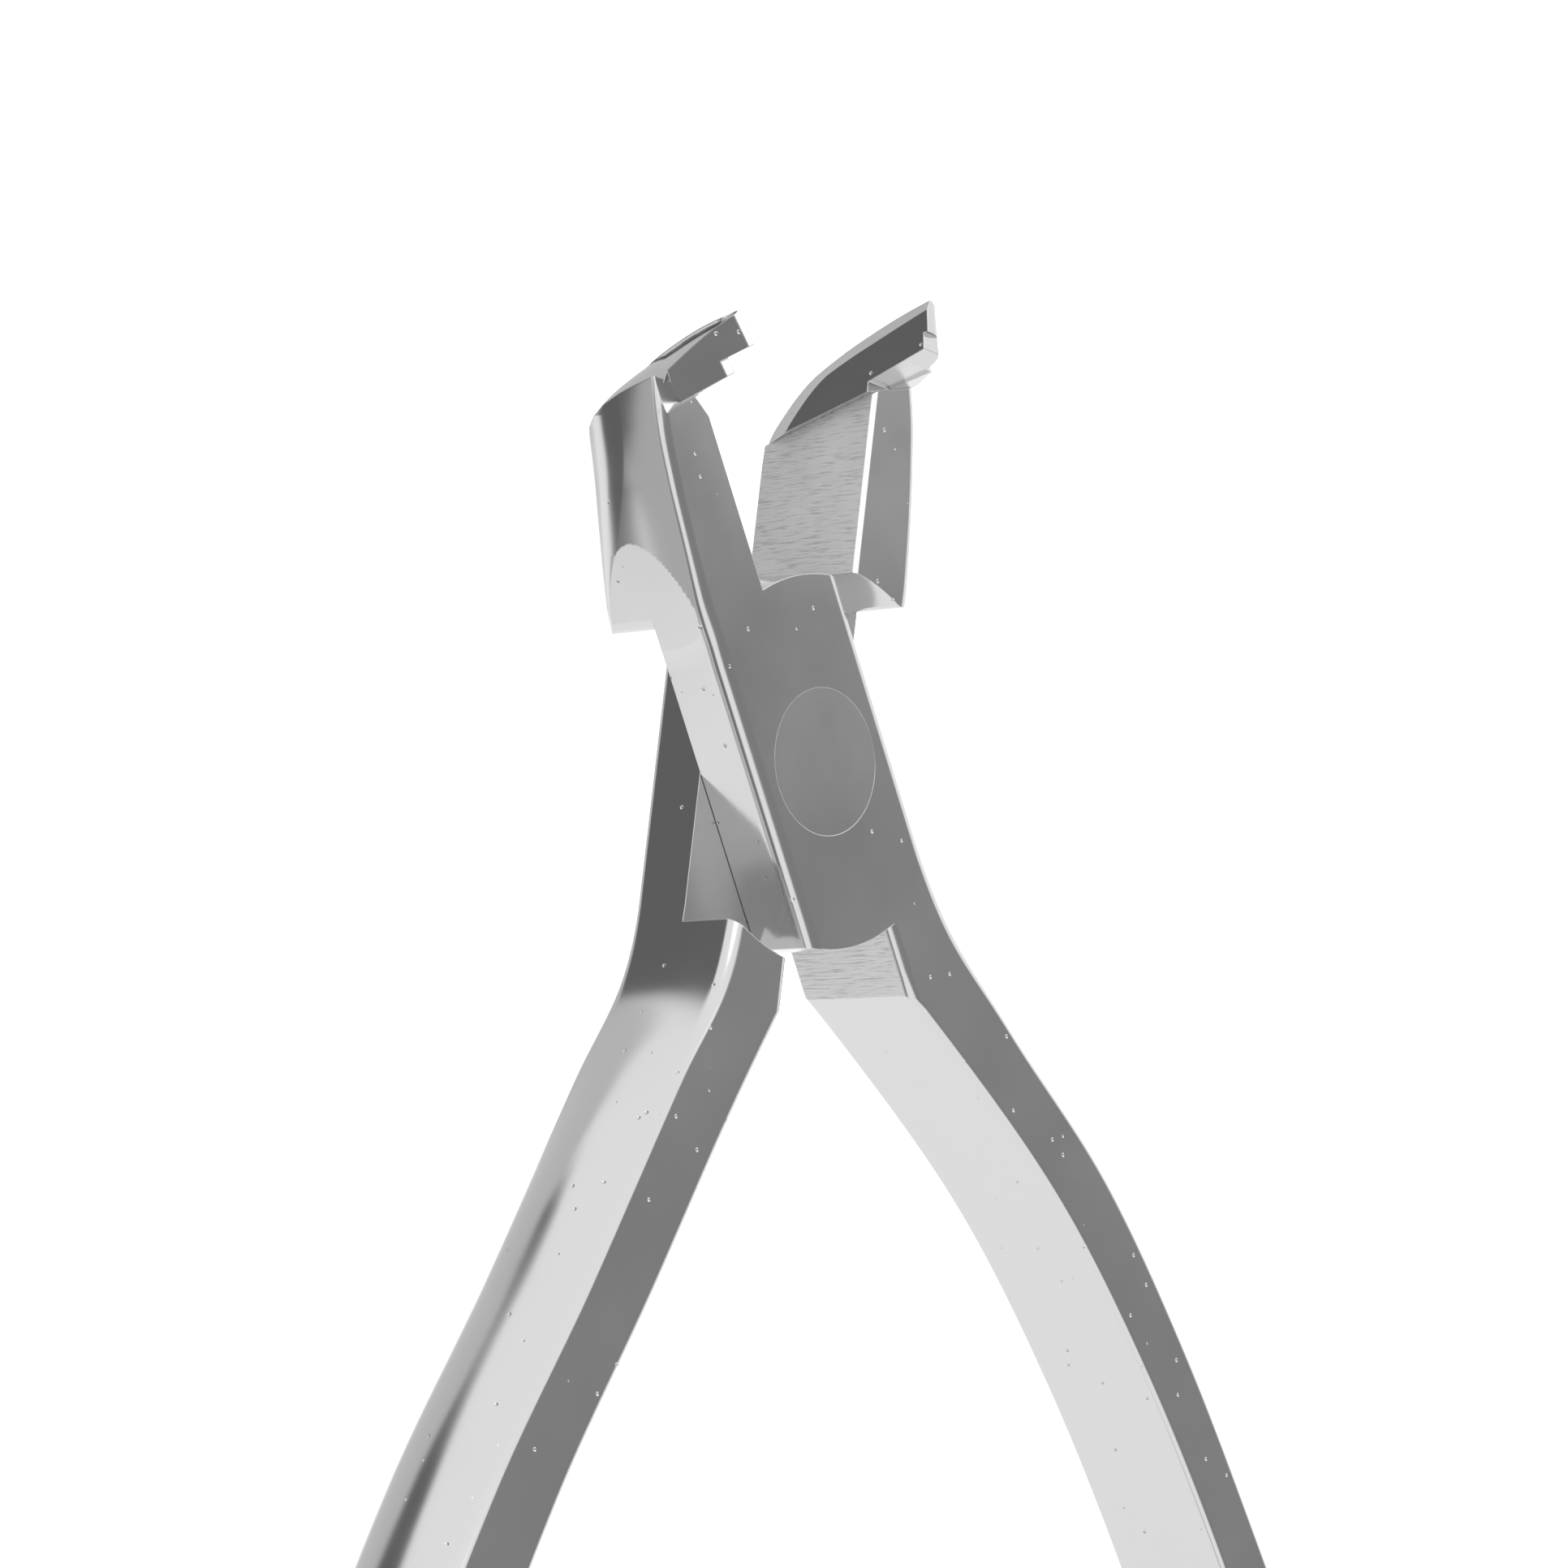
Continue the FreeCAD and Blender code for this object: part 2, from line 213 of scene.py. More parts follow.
def jaw_rounding(y):
    """A jaw's front rounding, back rounding and crown at a height y: the back grows rounder towards the
    tip, and the front a little crisper."""
    front = EDGE_RADIUS - JAW_FRONT_LOSS * ease(y, 7, 12)
    back = EDGE_RADIUS + (JAW_BACK_RADIUS - EDGE_RADIUS) * ease(y, 5.0, 17.0)
    return front, back, JAW_CROWN * ease(y, 6.5, 9.0)


def outline(name):
    """The closed plan outline of one half, anticlockwise with the jaw side at +q, and its wall sections."""
    w = PLATE_HALF_WIDTH
    inner, outer = HANDLE_INNER[name], HANDLE_OUTER[name]
    pad_q = inner[0][0]
    disc_y = math.sqrt(DISC_RADIUS**2 - w**2)
    pad_top = (pad_q, -math.sqrt(DISC_RADIUS**2 - pad_q**2))
    top_corner = (-w, JAW_OUTER[0][1])
    crisp = wall_section(CRISP_EDGE, CRISP_EDGE, 0)
    plate = wall_section(EDGE_RADIUS, EDGE_RADIUS, 0)

    def same(points, section):
        return points, [section] * len(points)

    jaw = smooth_curve(JAW_OUTER, 0.08)
    jaw_sections = [wall_section(*jaw_rounding(y)) for _, y in jaw]
    outer_points = smooth_curve(outer)
    outer_sections = []
    for q, y in outer_points:
        crown = HANDLE_CROWN * ease(-y, *CROWN_GROWS) * (1 - ease(-y, *CROWN_FADES))
        edge = EDGE_RADIUS + (SOFT_EDGE - EDGE_RADIUS) * ease(-y, *EDGE_SOFTENS)
        outer_sections.append(wall_section(edge, edge, crown))
    inner_points = smooth_curve(inner)
    soft = wall_section(SOFT_EDGE, SOFT_EDGE, 0)
    # anticlockwise: up the jaw's outer side, across the bar's top, down its other side and the handle's
    # outer side, round the end, up the handle's inner side and along the disc's lower end
    return [
        same(straight((w, -disc_y), JAW_OUTER[-1]), plate),
        (jaw[::-1], jaw_sections[::-1]),
        same(straight(JAW_OUTER[0], top_corner), crisp),
        same(straight(top_corner, outer[-1]), plate),
        (outer_points[::-1], outer_sections[::-1]),
        same(round_end(outer[0], inner[-1]), soft),
        same(inner_points[::-1], soft),
        same(straight(inner[0], pad_top), wall_section(*PAD_EDGES, 0)),
        same(circle_arc(DISC_RADIUS, pad_q, w, -1), crisp),
    ]


# ---------------------------------------------------------------- mesh helpers

def new_object(name, bm):
    """An object from a bmesh in millimetres, scaled to metres, with its faces outward."""
    bmesh.ops.recalc_face_normals(bm, faces=bm.faces)
    if bm.calc_volume(signed=True) < 0:
        bmesh.ops.reverse_faces(bm, faces=bm.faces)
    bm.transform(Matrix.Scale(MM, 4))
    mesh = bpy.data.meshes.new(name)
    bm.to_mesh(mesh)
    bm.free()
    obj = bpy.data.objects.new(name, mesh)
    bpy.context.scene.collection.objects.link(obj)
    return obj


def ring_mesh(columns, side):
    """A closed solid from wall columns: quads round the wall and one flat face at the front and back."""
    bm = bmesh.new()
    grid = [[bm.verts.new((side * q, y, z)) for q, y, z in column] for column in columns]
    count, rings = len(grid), len(grid[0])
    for i in range(count):
        j = (i + 1) % count
        for k in range(rings - 1):
            bm.faces.new((grid[i][k], grid[j][k], grid[j][k + 1], grid[i][k + 1]))
    bm.faces.new([column[0] for column in grid])
    bm.faces.new([column[-1] for column in grid])
    return bm


def prism(points, low, high, side=1):
    """An upright prism over a plan outline of (q, y)."""
    return ring_mesh([[(q, y, high), (q, y, low)] for q, y in points], side)


def between(near, far):
    """A closed solid between two outlines with the same number of corners."""
    bm = bmesh.new()
    a = [bm.verts.new(point) for point in near]
    b = [bm.verts.new(point) for point in far]
    for i in range(len(a)):
        j = (i + 1) % len(a)
        bm.faces.new((a[i], a[j], b[j], b[i]))
    bm.faces.new(a)
    bm.faces.new(b)
    return bm


def side_prism(points, side, depth=8.0):
    """A prism across the closed jaws over a side outline of (y, z)."""
    return between([(-SPARE * side, y, z) for y, z in points], [(depth * side, y, z) for y, z in points])


def block(origin, normal, side, size=60.0):
    """A large block beyond the plane through origin with that normal, in (q, y, z)."""
    bm = bmesh.new()
    bmesh.ops.create_cube(bm, size=size)
    bm.transform(Matrix.Translation((0, 0, size / 2)))
    direction = Vector((side * normal[0], normal[1], normal[2]))
    bm.transform(direction.to_track_quat("Z", "Y").to_matrix().to_4x4())
    bm.transform(Matrix.Translation((side * origin[0], origin[1], origin[2])))
    return bm


def trimmed(bm, height, keep_above):
    """What of a solid lies above a height, or below it."""
    bmesh.ops.bisect_plane(bm, geom=bm.verts[:] + bm.edges[:] + bm.faces[:], plane_co=(0, 0, height),
                           plane_no=(0, 0, 1), clear_outer=not keep_above, clear_inner=keep_above)
    bmesh.ops.holes_fill(bm, edges=bm.edges)
    return bm


def cut(obj, cutter):
    """Cut a solid, given as a bmesh in millimetres, out of an object."""
    tool = new_object("cutter", cutter)
    modifier = obj.modifiers.new("cut", "BOOLEAN")
    modifier.operation = "DIFFERENCE"
    modifier.solver = "EXACT"
    modifier.object = tool
    done = bpy.data.meshes.new_from_object(obj.evaluated_get(bpy.context.evaluated_depsgraph_get()))
    obj.modifiers.clear()
    old = obj.data
    done.name = old.name
    obj.data = done
    bpy.data.meshes.remove(old)
    bpy.data.objects.remove(tool)


def mark_ground_faces(obj, side, pad_q):
    """Put the jaw's inner face and the stop pad, which are ground, in material slot 1, and the faces that
    the two plates rub together on in slot 2."""
    facing, near = 0.98, 0.02
    pad_bottom, pad_top = -12, -8
    for face in obj.data.polygons:
        q = side * face.center.x / MM
        y = face.center.y / MM
        if side * face.normal.x < -facing and abs(q - JAW_RELIEF) < near and y > 0:
            face.material_index = 1
        if side * face.normal.x > facing and abs(q - pad_q) < near and pad_bottom < y < pad_top:
            face.material_index = 1
        if abs(face.normal.z) > facing and abs(face.center.z / MM - MID) < 2 * LAP_GAP:
            face.material_index = 2


def turn_to_rest(obj, side):
    """Turn a half, or its tip, from closed to rest: the front half one way and the back half the other."""
    obj.data.transform(Matrix.Rotation(math.radians(-side * OPEN_HALF_ANGLE), 4, "Z"))


def smooth_surfaces(obj, angle=24):
    """Smooth curved surfaces, crisp edges and flat faces that stay flat."""
    mesh = obj.data
    mesh.shade_smooth()
    mesh.set_sharp_from_angle(angle=math.radians(angle))
    weighted = obj.modifiers.new("weighted_normals", "WEIGHTED_NORMAL")
    weighted.mode = "FACE_AREA"
    weighted.weight = 50
    weighted.keep_sharp = True


# ---------------------------------------------------------------- the two halves

def lap_prism(low, high, side):
    """The space about the pivot that the other half's plate turns in."""
    angles = np.linspace(0, math.pi, 161)
    upper = [(JAW_SHOULDER_RADIUS * math.cos(a), JAW_SHOULDER_RADIUS * math.sin(a)) for a in angles]
    lower = [(-HANDLE_SHOULDER_RADIUS * math.cos(a), -HANDLE_SHOULDER_RADIUS * math.sin(a)) for a in angles]
    return prism(upper + lower, low, high, side)


def jaw_gap_prism(side):
    """What is cut away between the jaws: a straight side, and the round upper end of the lap plate."""
    above, beyond = 30.0, -8.0
    corner = math.sqrt(DISC_RADIUS**2 - JAW_RELIEF**2)
    arc = circle_arc(DISC_RADIUS, JAW_RELIEF, -PLATE_HALF_WIDTH - SPARE / 2, 1)
    plan = [(JAW_RELIEF, above), (JAW_RELIEF, corner)] + [tuple(p) for p in arc[1:]]
    plan += [(beyond, arc[-1][1]), (beyond, above)]
    return prism(plan, -SPARE, THICKNESS + SPARE, side)


def edge_break(side, size=0.18, past=0.1):
    """What chamfers the front edge of a jaw's inner face, and reaches a little past it all round."""
    q, z, top = JAW_RELIEF, THICKNESS, 20.0
    section = [(q - past, z - size - past), (q + size + past, z + past), (q - past, z + past)]
    return between([(side * a, JAW_SHOULDER_RADIUS - past, b) for a, b in section],
                   [(side * a, top, b) for a, b in section])


def shoulder_corner(side, low, high, radius=0.6):
    """What rounds the corner between a jaw's hollow shoulder and its outer side."""
    w = PLATE_HALF_WIDTH + SKIM
    q = w - radius
    y = math.sqrt((JAW_SHOULDER_RADIUS + radius) ** 2 - q**2)
    turn = math.atan2(y, q)
    angles = np.linspace(0, turn - math.pi, 12)
    bend = [(q + radius * math.cos(a), y + radius * math.sin(a)) for a in angles]
    below = y - 2 * SPARE
    return prism(bend + [(q - SPARE, below), (w + SPARE, below), (w + SPARE, y)], low, high, side)


def disc(radius, low, high, steps=192):
    angles = np.linspace(0, 2 * math.pi, steps, endpoint=False)
    return prism([(radius * math.cos(a), radius * math.sin(a)) for a in angles], low, high)


def seam_block(name, side, direction):
    """The space above a half's seam (direction 1) or below it (-1)."""
    start, flare, rise = SEAMS[name]
    normal = (-flare * direction, direction, -rise * direction)
    return block((JAW_RELIEF, start, 0), normal, side)


# What bevels the top of the front half's jaw: a side outline in (y, z) and a plan outline in (q, y)
JAW_TOP_BEVEL = [(16.8, 6.44), (19.5, 6.0), (19.5, 8.0), (16.8, 8.0)]
JAW_INNER_BEVEL = [(0.46, 15.87), (1.33, 17.9), (0.46, 17.9)]


def make_half(name, side, front_plate):
    """One forged half at rest: the wall round its outline, less all that was ground or forged away."""
    low, high = -SPARE, THICKNESS + SPARE
    obj = new_object(name + "_steel", ring_mesh(wall(outline(name)), side))
    cut(obj, block((PLATE_HALF_WIDTH + SKIM, 0, 0), (1, 0, 0), side, 30.0))
    cut(obj, jaw_gap_prism(side))
    if front_plate:
        cut(obj, side_prism(JAW_TOP_BEVEL, side))
        cut(obj, prism(JAW_INNER_BEVEL, low, high, side))
    else:
        cut(obj, edge_break(side))
    lap = (low, MID + LAP_GAP / 2) if front_plate else (MID - LAP_GAP / 2, high)
    cut(obj, lap_prism(*lap, side))
    cut(obj, shoulder_corner(side, *lap))
    cut(obj, disc(RIVET_GAP_RADIUS, low, high))
    cut(obj, seam_block(name, side, 1))
    for material in (polished, ground, lapped):
        obj.data.materials.append(material)
    mark_ground_faces(obj, side, HANDLE_INNER[name][0][0])
    turn_to_rest(obj, side)
    smooth_surfaces(obj)
    return obj


# ---------------------------------------------------------------- the tip inserts

INSERT_STEP = 0.12            # distance between two rows of an insert's grid
FOOT_SHARE = 0.40             # share of the rows that end on the front face, before the beak begins
# Side outlines of the inserts are in (y, z)
FOOT = (17.2, THICKNESS)      # where a beak's underside leaves the front face
PLAIN_BACK = [(14.2, 0), (15.2, 0.25), (16.4, 1.1), (17.6, 2.3), (18.65, 4.1), (19.45, 5.9), (20.1, 7.6),
              (20.65, 9.35)]
HOOKED_BACK = [(14.2, 0), (15.2, 0.25), (16.5, 1.1), (17.8, 2.3), (18.8, 4.1), (19.5, 5.9), (20.05, 7.7),
               (20.4, 9.45)]
PLAIN_TIP = (18.45, 9.75)     # the lower end of the end face
HOOKED_TIP = (18.16, 9.8)
PLAIN_NOTCH = [(19.12, 11.0), (19.12, 9.38), (18.0, 9.55), (18.0, 11.0)]
HOOKED_NOTCH = [(18.8, 9.65), (18.5, 8.4), (17.0, 8.62), (17.0, 11.0), (18.84, 11.0)]
# Rounding between an insert's back and its outer side, at shares of the way from below the seam to the tip
PLAIN_RADII = [(0.0, 3.7), (0.1, 3.7), (0.45, 2.3), (0.8, 1.0)]
HOOKED_RADII = [(0.0, 1.3), (0.3, 1.3), (0.6, 3.2), (1.0, 2.0)]
PLAIN_CHAMFER = 1.45          # width of the bevel between the plain insert's back and its inner face
CHAMFER_SLOPE = 0.4
CHAMFER_LOSS = 0.65           # the share of its width that the bevel loses towards the tip
HOOK_RELIEF = 0.4
LEAST_DEPTH = 0.15            # of an insert at its thinnest
LAND = 0.42                   # width of the flat land round the end face
END_ROUNDING = 1.1            # behind it, the outer side curves out to its full depth
# Full depth of the plain insert towards its tip, as (q, z)
PLAIN_TAPER = [(4.6, 4.6), (3.9, 5.6), (3.2, 6.4), (2.65, 7.2), (2.2, 8.0), (1.8, 8.7), (1.35, 9.3),
               (0.9, 9.85)]
# On the hooked insert the sloping seam stops short of the front face, and a strip along that face is cut
# away instead
SEAM_STOP = 0.25
SEAM_STRIP = [(14.0, 6.12), (17.18, 6.12), (17.18, 6.8), (14.0, 6.8)]
# The flat facet on its outer side: a point of its plane, the plane's normal, and how far it starts below
# the front face
FACET_POINT = (1.93, FOOT[0], THICKNESS)
FACET_NORMAL = (1.0, 0.02, 0.453)
FACET_START = 0.2


def depth_from(table, value):
    """Depth q at a value of the other coordinate, from a table of (q, other) in which that one rises."""
    table = np.array(table)
    return np.interp(value, table[:, 1], table[:, 0])


def rounded_off(radius, distance):
    """How far a quarter-round edge stands back, at a distance from its start."""
    return radius - math.sqrt(max(0.0, radius**2 - (radius - distance) ** 2)) if distance < radius else 0.0


def relief(z, taper):
    """Behind its notch, the hooked insert, which has no taper, stands back from the closing plane."""
    return 0.0 if taper else HOOK_RELIEF * (1 - ease(z, 8.5, 9.4))


def insert_grids(back, tip, radii, taper, chamfer):
    """Outer and inner surfaces of a tip insert as grids of (q, y, z): rows run from below the seam to the
    end face, columns from the back curve to the front face and the beak's underside."""
    back_points = smooth_curve(back, INSERT_STEP)
    rows = len(back_points)
    foot_row = int(rows * FOOT_SHARE)
    start = (back[0][0] + 0.2, THICKNESS)
    front = np.vstack([np.linspace(start, FOOT, foot_row, endpoint=False),
                       np.linspace(FOOT, tip, rows - foot_row)])
    # the columns stand closer together near the back curve, where the surface is round
    shares = np.r_[np.linspace(0, 1, 25) ** 1.6 * 0.5, np.linspace(0.5, 1, 15)[1:]]
    reach = math.dist(FOOT, tip) + 1.0
    outer, inner = [], []
    for i, (b, f) in enumerate(zip(back_points, front)):
        t = i / (rows - 1)
        length = np.linalg.norm(f - b)
        radius = np.interp(t, *np.array(radii).T)
        width = chamfer * (1 - CHAMFER_LOSS * t)
        to_end = (1 - t) * reach
        for_outer, for_inner = [], []
        for share in shares:
            y, z = b + (f - b) * share
            s = length * share
            widest = depth_from(JAW_OUTER[::-1], y)
            if taper:
                widest = min(widest, depth_from(taper, z))
            bulge = JAW_CROWN * (1 - ((z - MID) / MID) ** 2) * (1 - ease(t, 0.3, 0.7))
            widest += max(0.0, bulge)
            depth = widest - max(rounded_off(radius, s), rounded_off(JAW_BACK_RADIUS, z))
            if taper and to_end < END_ROUNDING:
                depth = min(depth, LAND + math.sqrt(END_ROUNDING**2 - (END_ROUNDING - to_end) ** 2))
            lift = CHAMFER_SLOPE * max(0.0, width - s) + relief(z, taper)
            for_outer.append((max(depth, TIP_FACE + lift + LEAST_DEPTH), y, z))
        for share in shares:
            if chamfer:
                # one column of the inner grid runs exactly along the bevel's edge
                edge = width / length
                share = share / 0.5 * edge if share <= 0.5 else edge + (share - 0.5) / 0.5 * (1 - edge)
            y, z = b + (f - b) * share
            lift = CHAMFER_SLOPE * max(0.0, width - length * share) + relief(z, taper)
            for_inner.append((TIP_FACE + lift, y, z))
        outer.append(for_outer)
        inner.append(for_inner)
    return np.array(outer), np.array(inner)


def grid_solid(outer, inner, side):
    """A closed solid between two grids of the same size."""
    bm = bmesh.new()
    a = [[bm.verts.new((side * q, y, z)) for q, y, z in row] for row in outer]
    b = [[bm.verts.new((side * q, y, z)) for q, y, z in row] for row in inner]
    rows, columns = len(a), len(a[0])
    for i in range(rows - 1):
        for j in range(columns - 1):
            bm.faces.new((a[i][j], a[i + 1][j], a[i + 1][j + 1], a[i][j + 1]))
            bm.faces.new((b[i][j], b[i][j + 1], b[i + 1][j + 1], b[i + 1][j]))
    for i in range(rows - 1):
        for j in (0, columns - 1):
            bm.faces.new((a[i][j], a[i + 1][j], b[i + 1][j], b[i][j]))
    for j in range(columns - 1):
        for i in (0, rows - 1):
            bm.faces.new((a[i][j], a[i][j + 1], b[i][j + 1], b[i][j]))
    return bm


def make_insert(name, side, notch, grids, cuts):
    """One tip insert at rest: the solid between its two surfaces, less its flat cuts and its notch."""
    obj = new_object(name + "_steel", grid_solid(*grids, side))
    for solid in cuts:
        cut(obj, solid)
    cut(obj, side_prism(notch, side))
    obj.data.materials.append(tip_steel)
    turn_to_rest(obj, side)
    smooth_surfaces(obj)
    return obj


# ---------------------------------------------------------------- materials

def steel(name, grey=0.62, roughness=0.16, brush=0.0, brush_axis=(1, 1, 1), pits=0.0, edge_radius=0.07):
    """Stainless steel: a metal with uneven polish, and optional brush lines and small pits. A brush axis
    squeezes the brush lines along X, Y and Z."""
    material = bpy.data.materials.new(name)
    material.use_nodes = True
    nodes, links = material.node_tree.nodes, material.node_tree.links
    shader = nodes["Principled BSDF"]
    shader.inputs["Base Color"].default_value = (grey, grey, grey, 1)
    shader.inputs["Metallic"].default_value = 1.0
    coords = nodes.new("ShaderNodeTexCoord")

    def noise(scale, detail, axis=(1, 1, 1)):
        mapping = nodes.new("ShaderNodeMapping")
        mapping.inputs["Scale"].default_value = axis
        texture = nodes.new("ShaderNodeTexNoise")
        texture.inputs["Scale"].default_value = scale
        texture.inputs["Detail"].default_value = detail
        links.new(coords.outputs["Object"], mapping.inputs["Vector"])
        links.new(mapping.outputs["Vector"], texture.inputs["Vector"])
        return texture.outputs["Fac"]

    def remap(value, low, high, to_low, to_high):
        spread = nodes.new("ShaderNodeMapRange")
        for key, number in (("From Min", low), ("From Max", high), ("To Min", to_low), ("To Max", to_high)):
            spread.inputs[key].default_value = number
        links.new(value, spread.inputs["Value"])
        return spread.outputs["Result"]

    def bumped(height, strength, depth, normal):
        bump = nodes.new("ShaderNodeBump")
        bump.inputs["Strength"].default_value = strength
        bump.inputs["Distance"].default_value = depth
        links.new(height, bump.inputs["Height"])
        links.new(normal, bump.inputs["Normal"])
        return bump.outputs["Normal"]

    fine, slight = 0.00004, 0.00002       # depths of the relief, in metres
    uneven = remap(noise(140, 3), 0.2, 0.8, roughness * 0.7, roughness * 1.35)
    links.new(uneven, shader.inputs["Roughness"])
    edge = nodes.new("ShaderNodeBevel")
    edge.samples = 6
    edge.inputs["Radius"].default_value = edge_radius * MM
    normal = bumped(noise(1000, 2, (1.6, 0.16, 1.6)), 0.05, slight, edge.outputs["Normal"])
    if brush:
        lines = noise(1000, 4, brush_axis)
        normal = bumped(lines, brush, fine, normal)
        shade = remap(lines, 0.3, 0.48, grey * 0.75, grey)
        links.new(shade, shader.inputs["Base Color"])
    if pits:
        cells = nodes.new("ShaderNodeTexVoronoi")
        cells.inputs["Scale"].default_value = 1200
        links.new(coords.outputs["Object"], cells.inputs["Vector"])
        hole = remap(cells.outputs["Distance"], 0.05, 0.12, -1, 0)
        chosen = remap(cells.outputs["Color"], 0.42, 0.45, 1, 0)
        depth = nodes.new("ShaderNodeMath")
        depth.operation = "MULTIPLY"
        links.new(hole, depth.inputs[0])
        links.new(chosen, depth.inputs[1])
        normal = bumped(depth.outputs["Value"], pits, fine, normal)
    links.new(normal, shader.inputs["Normal"])
    return material


# ---------------------------------------------------------------- build

polished = steel("polished_steel", pits=0.8)
ground = steel("ground_steel", grey=0.78, roughness=0.6, brush=0.6, brush_axis=(1.0, 12.0, 1.0))
lapped = steel("lapped_steel", grey=0.52, roughness=0.3)
rivet_steel = steel("rivet_steel", grey=0.60, roughness=0.2, edge_radius=0.01)
tip_steel = steel("tip_steel", grey=0.60, roughness=0.16, pits=1.0)

front = make_half("front_half", -1, True)
back = make_half("back_half", 1, False)
facet = block(FACET_POINT, FACET_NORMAL, -1, 30.0)
hooked = make_insert("hooked_tip_insert", -1, HOOKED_NOTCH,
                     insert_grids(HOOKED_BACK, HOOKED_TIP, HOOKED_RADII, None, 0.0),
                     (trimmed(seam_block("front_half", -1, -1), THICKNESS - SEAM_STOP, False),
                      side_prism(SEAM_STRIP, -1), trimmed(facet, THICKNESS - FACET_START, True)))
plain = make_insert("plain_tip_insert", 1, PLAIN_NOTCH,
                    insert_grids(PLAIN_BACK, PLAIN_TIP, PLAIN_RADII, PLAIN_TAPER, PLAIN_CHAMFER),
                    (seam_block("back_half", 1, -1),))

for obj, body, node, slot in (
    (front, "front", "front_half", "polished_steel"),
    (back, "back", "back_half", "polished_steel"),
    (hooked, "front", "hooked_tip_insert", "tip_steel"),
    (plain, "back", "plain_tip_insert", "tip_steel"),
):
    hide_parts(node)
    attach(obj, body)

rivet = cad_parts["pivot_rivet"]
rivet.data.materials.clear()
rivet.data.materials.append(rivet_steel)


# ---------------------------------------------------------------- floor, light and camera

def make_floor():
    """A wide pale floor just below the pliers. It gives off light, so that they throw hardly any shadow."""
    bm = bmesh.new()
    bmesh.ops.create_grid(bm, x_segments=1, y_segments=1, size=3000)
    floor = new_object("floor", bm)
    floor.location.z = -0.0002
    material = bpy.data.materials.new("pale_floor")
    material.use_nodes = True
    shader = material.node_tree.nodes["Principled BSDF"]
    shader.inputs["Base Color"].default_value = (0.93, 0.93, 0.93, 1)
    shader.inputs["Roughness"].default_value = 0.9
    shader.inputs["Specular IOR Level"].default_value = 0.0
    shader.inputs["Emission Color"].default_value = (1, 1, 1, 1)
    shader.inputs["Emission Strength"].default_value = 0.85
    floor.data.materials.append(material)
    floor.visible_glossy = False


# The studio is white, with these darker and brighter patches, each laid over the ones before it:
# centre direction, half size along X, Y and Z, brightness
STUDIO_WHITE = 1.15
STUDIO = [
    ((0.25, -0.15, 0.85), (0.85, 0.32, 0.45), 0.30),      # a grey strip overhead
    ((0.55, 0.40, 0.70), (0.25, 0.22, 0.30), 1.9),        # two bright lamps over the tips
    ((-0.58, 0.39, 0.70), (0.25, 0.30, 0.30), 1.9),
    ((-0.85, -0.10, -0.35), (0.40, 0.50, 0.20), 0.6),     # above the dark card, a lighter band
    ((-0.60, 0.30, -0.72), (0.55, 0.60, 0.32), 0.17),     # a dark card low on the left
    ((-0.90, -0.35, 0.0), (0.40, 0.60, 0.14), 0.4),       # the horizon on the left
    ((-0.86, -0.50, 0.10), (0.20, 0.24, 0.20), 0.25),
    ((0.25, 0.42, -0.82), (0.45, 0.45, 0.35), 0.7),       # the bench behind the tips
]


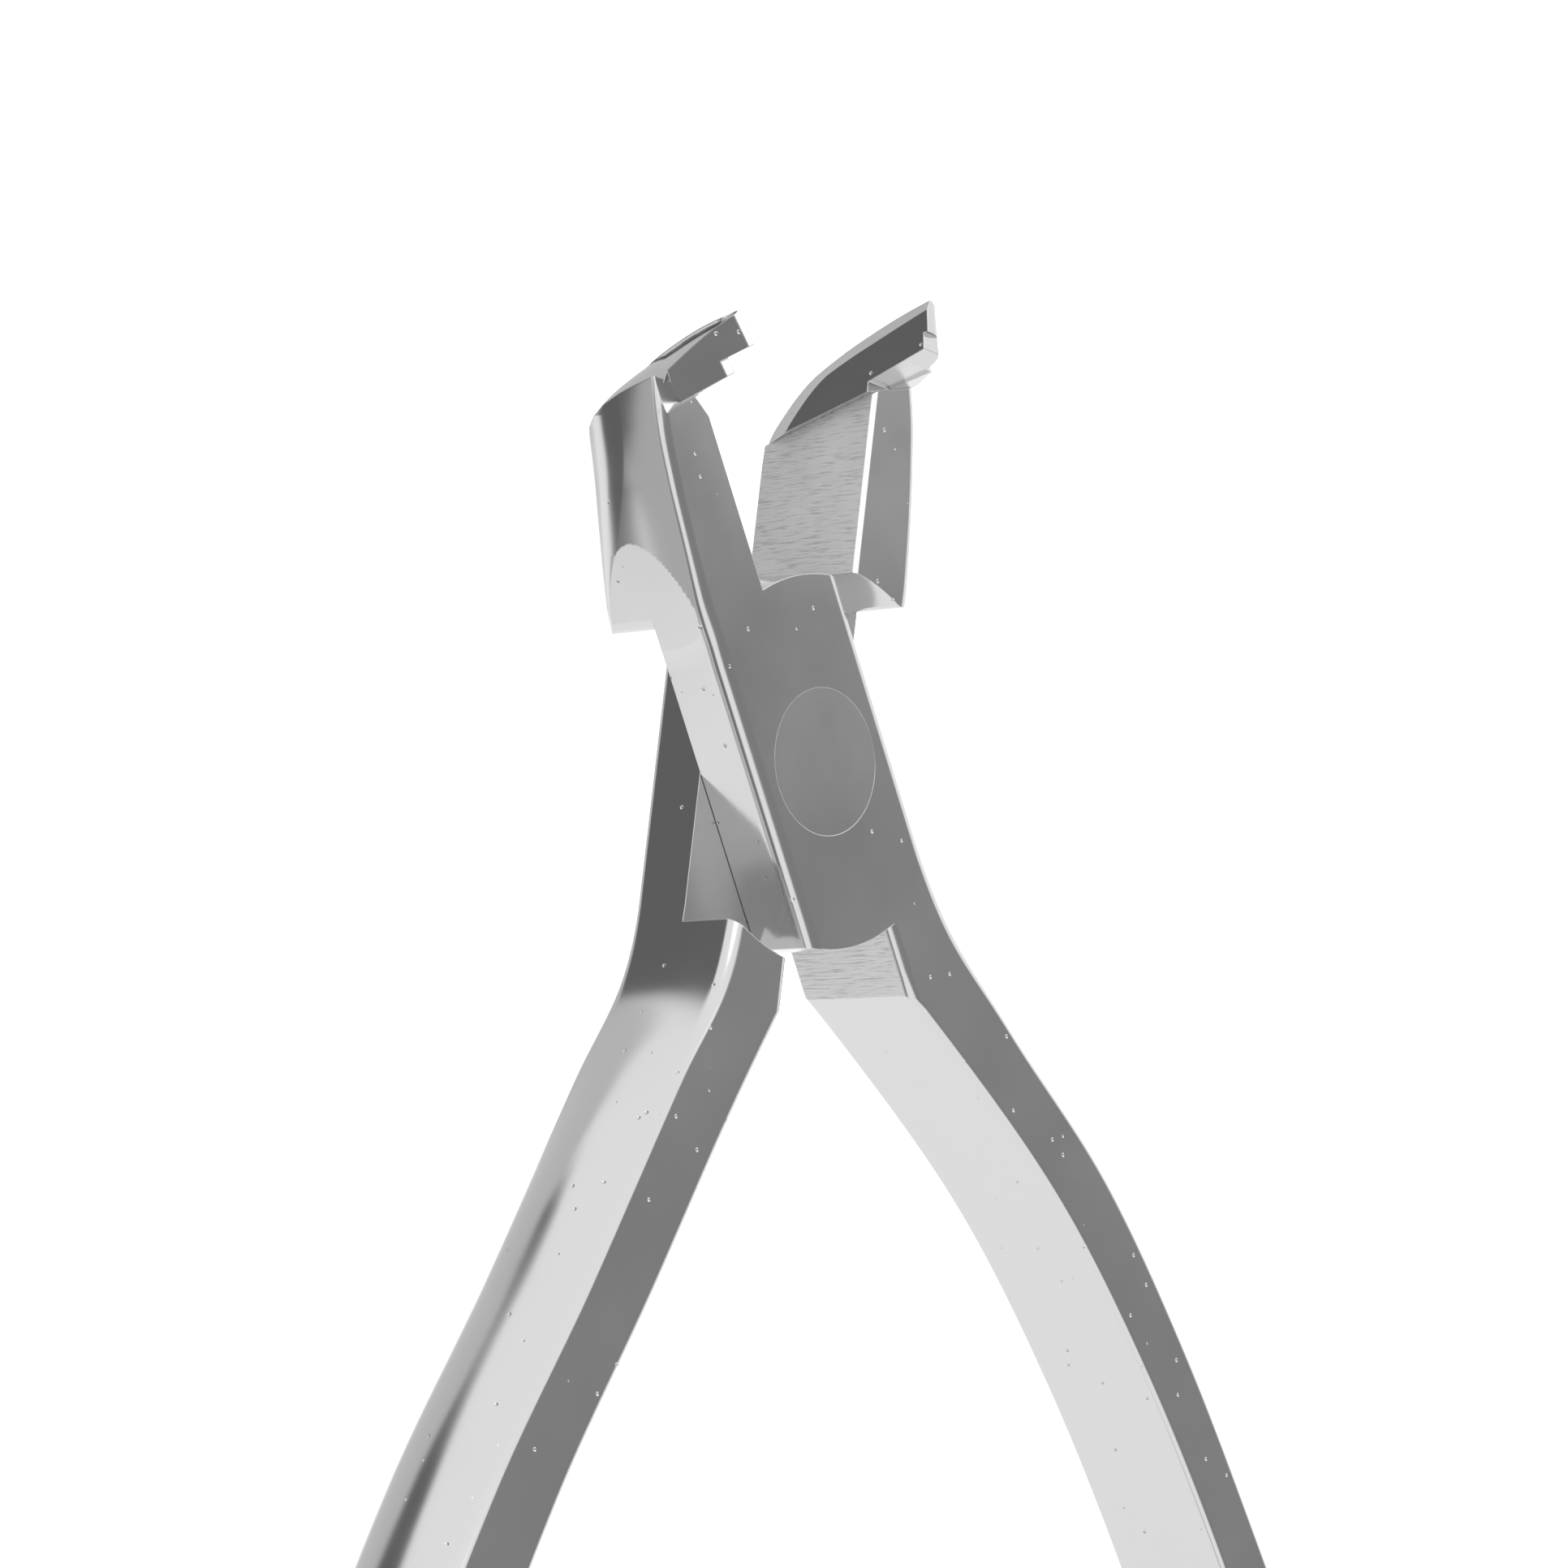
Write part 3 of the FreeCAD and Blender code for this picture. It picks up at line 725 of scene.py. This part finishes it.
def world_patch(nodes, links, centre, half, brightness, base):
    """Lay a soft-edged patch of the studio, round or oval, over what is below it. Its edge runs half away
    from its centre along each axis."""
    direction = nodes.new("ShaderNodeTexCoord")
    away = nodes.new("ShaderNodeVectorMath")
    away.operation = "SUBTRACT"
    away.inputs[1].default_value = centre
    links.new(direction.outputs["Generated"], away.inputs[0])
    scaled = nodes.new("ShaderNodeVectorMath")
    scaled.operation = "DIVIDE"
    scaled.inputs[1].default_value = half
    links.new(away.outputs["Vector"], scaled.inputs[0])
    length = nodes.new("ShaderNodeVectorMath")
    length.operation = "LENGTH"
    links.new(scaled.outputs["Vector"], length.inputs[0])
    ramp = nodes.new("ShaderNodeMapRange")
    ramp.interpolation_type = "SMOOTHSTEP"
    ramp.inputs["From Min"].default_value = 1.2
    ramp.inputs["From Max"].default_value = 0.9
    links.new(length.outputs["Value"], ramp.inputs["Value"])
    mix = nodes.new("ShaderNodeMix")
    links.new(ramp.outputs["Result"], mix.inputs["Factor"])
    links.new(base, mix.inputs["A"])
    mix.inputs["B"].default_value = brightness
    return mix.outputs["Result"]


def make_world():
    """The studio that the steel reflects."""
    world = bpy.data.worlds.new("studio")
    world.use_nodes = True
    bpy.context.scene.world = world
    nodes, links = world.node_tree.nodes, world.node_tree.links
    value = nodes.new("ShaderNodeValue")
    value.outputs[0].default_value = STUDIO_WHITE
    level = value.outputs[0]
    for centre, half, brightness in STUDIO:
        level = world_patch(nodes, links, centre, half, brightness, level)
    links.new(level, nodes["Background"].inputs["Color"])
    nodes["Background"].inputs["Strength"].default_value = 1.0


def make_floor_light():
    """A wide soft light straight above, for the floor alone."""
    data = bpy.data.lights.new("overhead", "AREA")
    data.size = 0.8
    data.energy = 7.0
    light = bpy.data.objects.new("overhead", data)
    light.location = (0, 0, 0.9)
    light.visible_glossy = False
    bpy.context.scene.collection.objects.link(light)


def make_camera(place, azimuth, elevation, roll, lens):
    """The scene's camera at a place in millimetres. Azimuth and elevation are those of its place as seen
    from what it looks at, from -Y towards +X, and it is rolled about its view."""
    camera = bpy.data.objects.new("camera", bpy.data.cameras.new("camera"))
    bpy.context.scene.collection.objects.link(camera)
    bpy.context.scene.camera = camera
    camera.data.lens = lens
    camera.data.clip_start = 0.01
    a, e = math.radians(azimuth), math.radians(elevation)
    away = Vector((math.sin(a) * math.cos(e), -math.cos(a) * math.cos(e), math.sin(e)))
    rolled = Matrix.Rotation(math.radians(roll), 4, "Z").to_quaternion()
    camera.rotation_mode = "QUATERNION"
    camera.rotation_quaternion = away.to_track_quat("Z", "Y") @ rolled
    camera.location = Vector(place) * MM


make_floor()
make_world()
make_floor_light()
bpy.context.scene.view_settings.view_transform = "Standard"
make_camera(place=(-192.39, 4.17, 181.24), azimuth=-91.49, elevation=42.67, roll=85.6, lens=137.5)
